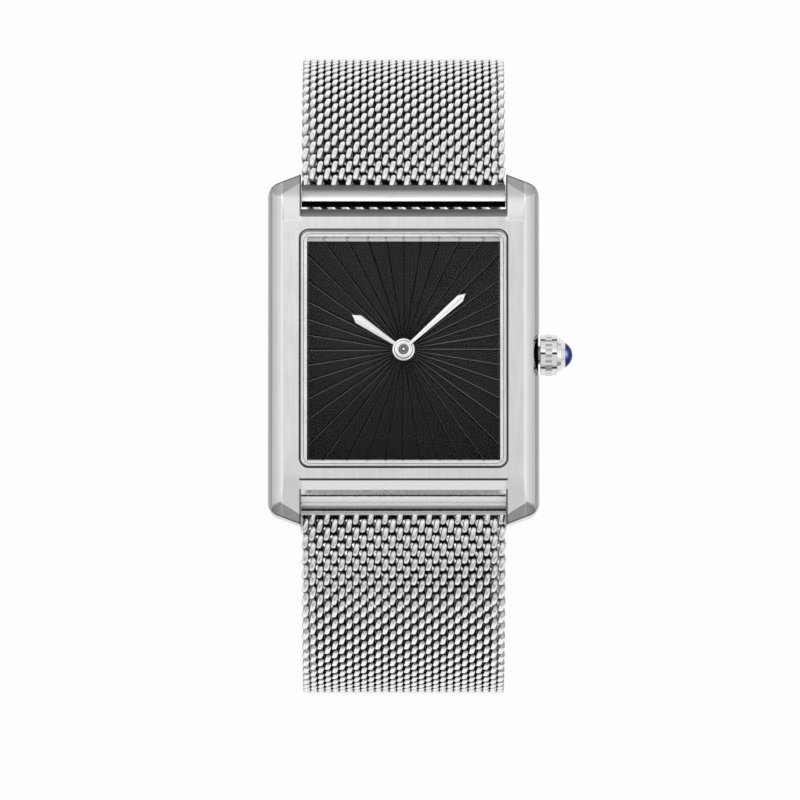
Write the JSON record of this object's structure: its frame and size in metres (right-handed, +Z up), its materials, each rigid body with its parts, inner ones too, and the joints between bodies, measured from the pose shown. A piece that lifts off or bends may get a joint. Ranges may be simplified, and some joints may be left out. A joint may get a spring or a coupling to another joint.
{
  "type": "rectangular wristwatch",
  "caption": "Rectangular wristwatch with two hands over a radially fluted black dial, a crown with a cabochon, and a closed woven mesh bracelet with a sliding hook clasp.",
  "frame": {"origin": "centre of the clasp cover's outer face, straight below the centre of the dial, on the surface that the closed bracelet stands on", "axes": "+X towards the crown, +Y towards twelve o'clock, +Z up through the dial"},
  "size_m": [0.0298, 0.0636, 0.0526],
  "materials": {
    "case_steel": "polished and satin steel",
    "mesh_steel": "woven steel wire",
    "clasp_steel": "satin steel",
    "hand_steel": "satin, silvered",
    "ring_steel": "polished",
    "dial_black": "satin black lacquer on fluted brass",
    "sapphire": "clear",
    "gasket_black": "matt",
    "holder_plastic": "matt black",
    "movement_brass": "brushed",
    "gear_brass": "polished",
    "iron_gray": "stamped soft iron",
    "copper_wire": "enamelled copper wire",
    "board_green": "solder mask",
    "chip_black": "moulded resin",
    "battery_steel": "bright steel can",
    "cabochon_blue": "polished deep blue stone",
    "magnet_gray": "sintered magnet",
    "screw_steel": "polished slotted heads"
  },
  "bodies": {
    "case": {"case_middle": "case_steel", "crystal": "sapphire", "crystal_gasket": "gasket_black", "dial_ring": "ring_steel", "dial": "dial_black", "case_back": "case_steel", "case_back_gasket": "gasket_black", "case_back_screws": "screw_steel", "crown_tube": "case_steel", "movement_holder": "holder_plastic", "mainplate": "movement_brass", "train_bridge": "movement_brass", "movement_screws": "screw_steel", "battery": "battery_steel", "battery_clamp": "screw_steel", "circuit_board": "board_green", "ic_chip": "chip_black", "quartz_crystal": "battery_steel", "stator": "iron_gray", "coil_core": "iron_gray", "coil": "copper_wire", "spring_bar_12": "screw_steel", "spring_bar_6": "screw_steel", "spring_bar_springs": "screw_steel"},
    "minute": {"minute_hand": "hand_steel", "cannon_pinion": "gear_brass", "center_wheel": "gear_brass"},
    "hour": {"hour_hand": "hand_steel", "hour_wheel": "gear_brass"},
    "minute_wheel": {"minute_wheel": "gear_brass"},
    "third_wheel": {"third_wheel": "gear_brass"},
    "intermediate_wheel": {"intermediate_wheel": "gear_brass"},
    "rotor": {"rotor": "iron_gray", "rotor_magnet": "magnet_gray"},
    "setting_wheel": {"setting_wheel": "gear_brass"},
    "setting_lever": {"setting_lever": "screw_steel"},
    "sliding_pinion": {"sliding_pinion": "gear_brass"},
    "crown": {"stem": "case_steel", "crown": "case_steel", "crown_cabochon": "cabochon_blue", "crown_gasket": "gasket_black"},
    "bar_tip_12_left": {"bar_tip_12_left": "screw_steel"},
    "bar_tip_12_right": {"bar_tip_12_right": "screw_steel"},
    "bar_tip_6_left": {"bar_tip_6_left": "screw_steel"},
    "bar_tip_6_right": {"bar_tip_6_right": "screw_steel"},
    "strap_12": {"strap_12_end_piece": "clasp_steel", "strap_12_mesh": "mesh_steel", "strap_12_bracket": "clasp_steel", "hook_bar": "clasp_steel"},
    "strap_6": {"strap_6_end_piece": "clasp_steel", "strap_6_mesh": "mesh_steel", "strap_6_tip": "clasp_steel", "clasp_body": "clasp_steel", "clasp_pin": "clasp_steel", "clasp_lock_pin": "clasp_steel"},
    "clasp_hook": {"clasp_hook": "clasp_steel"},
    "clasp_cover": {"clasp_cover": "clasp_steel", "clasp_cover_sides": "clasp_steel"},
    "clasp_lock": {"clasp_lock": "clasp_steel"}
  },
  "joints": [
    {"name": "minute_turn", "type": "hinge", "parent": "case", "child": "minute", "pos_m": [0, 0, 0.05], "axis": [0, 0, -1], "continuous": true},
    {"name": "hour_turn", "type": "hinge", "parent": "case", "child": "hour", "pos_m": [0, 0, 0.05], "axis": [0, 0, -1], "continuous": true},
    {"name": "minute_wheel_turn", "type": "hinge", "parent": "case", "child": "minute_wheel", "pos_m": [0.0017, 0.0017, 0.0493], "axis": [0, 0, -1], "continuous": true},
    {"name": "third_wheel_turn", "type": "hinge", "parent": "case", "child": "third_wheel", "pos_m": [-0.00303, 0.00175, 0.048], "axis": [0, 0, -1], "continuous": true},
    {"name": "intermediate_wheel_turn", "type": "hinge", "parent": "case", "child": "intermediate_wheel", "pos_m": [-0.00341, 0.00388, 0.048], "axis": [0, 0, -1], "continuous": true},
    {"name": "rotor_turn", "type": "hinge", "parent": "case", "child": "rotor", "pos_m": [-0.0022, 0.00432, 0.048], "axis": [0, 0, -1], "continuous": true},
    {"name": "setting_wheel_turn", "type": "hinge", "parent": "case", "child": "setting_wheel", "pos_m": [0.00404, 0.00035, 0.0493], "axis": [0, 0, -1], "continuous": true},
    {"name": "crown_turn", "type": "hinge", "parent": "case", "child": "sliding_pinion", "pos_m": [0.0054, -0.0004, 0.0489], "axis": [1, 0, 0], "continuous": true},
    {"name": "crown_pull", "type": "slide", "parent": "sliding_pinion", "child": "crown", "axis": [1, 0, 0], "range_m": [0, 0.001]},
    {"name": "setting_lever_turn", "type": "hinge", "parent": "case", "child": "setting_lever", "pos_m": [0.007, 0.0016, 0.0495], "axis": [0, 0, 1], "range_deg": [0, 29]},
    {"name": "bar_tip_12_left_press", "type": "slide", "parent": "case", "child": "bar_tip_12_left", "axis": [1, 0, 0], "range_m": [0, 0.00085], "stiffness_N_per_m": 200, "springref_m": -0.002},
    {"name": "bar_tip_12_right_press", "type": "slide", "parent": "case", "child": "bar_tip_12_right", "axis": [-1, 0, 0], "range_m": [0, 0.00085], "stiffness_N_per_m": 200, "springref_m": -0.002},
    {"name": "bar_tip_6_left_press", "type": "slide", "parent": "case", "child": "bar_tip_6_left", "axis": [1, 0, 0], "range_m": [0, 0.00085], "stiffness_N_per_m": 200, "springref_m": -0.002},
    {"name": "bar_tip_6_right_press", "type": "slide", "parent": "case", "child": "bar_tip_6_right", "axis": [-1, 0, 0], "range_m": [0, 0.00085], "stiffness_N_per_m": 200, "springref_m": -0.002},
    {"name": "strap_12_swing", "type": "hinge", "parent": "case", "child": "strap_12", "pos_m": [0, 0.0152, 0.048], "axis": [1, 0, 0], "range_deg": [0, 12]},
    {"name": "strap_6_swing", "type": "hinge", "parent": "case", "child": "strap_6", "pos_m": [0, -0.0152, 0.048], "axis": [-1, 0, 0], "range_deg": [0, 12]},
    {"name": "clasp_cover_open", "type": "hinge", "parent": "strap_6", "child": "clasp_cover", "pos_m": [0, -0.0132, 0.0015], "axis": [-1, 0, 0], "range_deg": [0, 150]},
    {"name": "clasp_hook_open", "type": "hinge", "parent": "strap_6", "child": "clasp_hook", "pos_m": [0, -0.0132, 0.0015], "axis": [-1, 0, 0], "range_deg": [0, 90]},
    {"name": "clasp_lock_open", "type": "hinge", "parent": "strap_6", "child": "clasp_lock", "pos_m": [0, -0.01, 0.0022], "axis": [-1, 0, 0], "range_deg": [0, 60]}
  ],
  "couplings": [
    {"joint": "hour_turn", "follows": "minute_turn", "ratio": 0.083333},
    {"joint": "minute_wheel_turn", "follows": "minute_turn", "ratio": -0.33333},
    {"joint": "setting_wheel_turn", "follows": "minute_turn", "ratio": 0.66667},
    {"joint": "third_wheel_turn", "follows": "minute_turn", "ratio": -6},
    {"joint": "intermediate_wheel_turn", "follows": "minute_turn", "ratio": 30},
    {"joint": "rotor_turn", "follows": "minute_turn", "ratio": -90},
    {"joint": "setting_lever_turn", "follows": "crown_pull", "rad_per_m": 489.96},
    {"joint": "strap_12_swing", "follows": "clasp_cover_open", "ratio": 0.08},
    {"joint": "strap_6_swing", "follows": "clasp_cover_open", "ratio": 0.08},
    {"joint": "clasp_hook_open", "follows": "clasp_cover_open", "ratio": 0.6},
    {"joint": "clasp_lock_open", "follows": "clasp_cover_open", "ratio": 0.4}
  ]
}
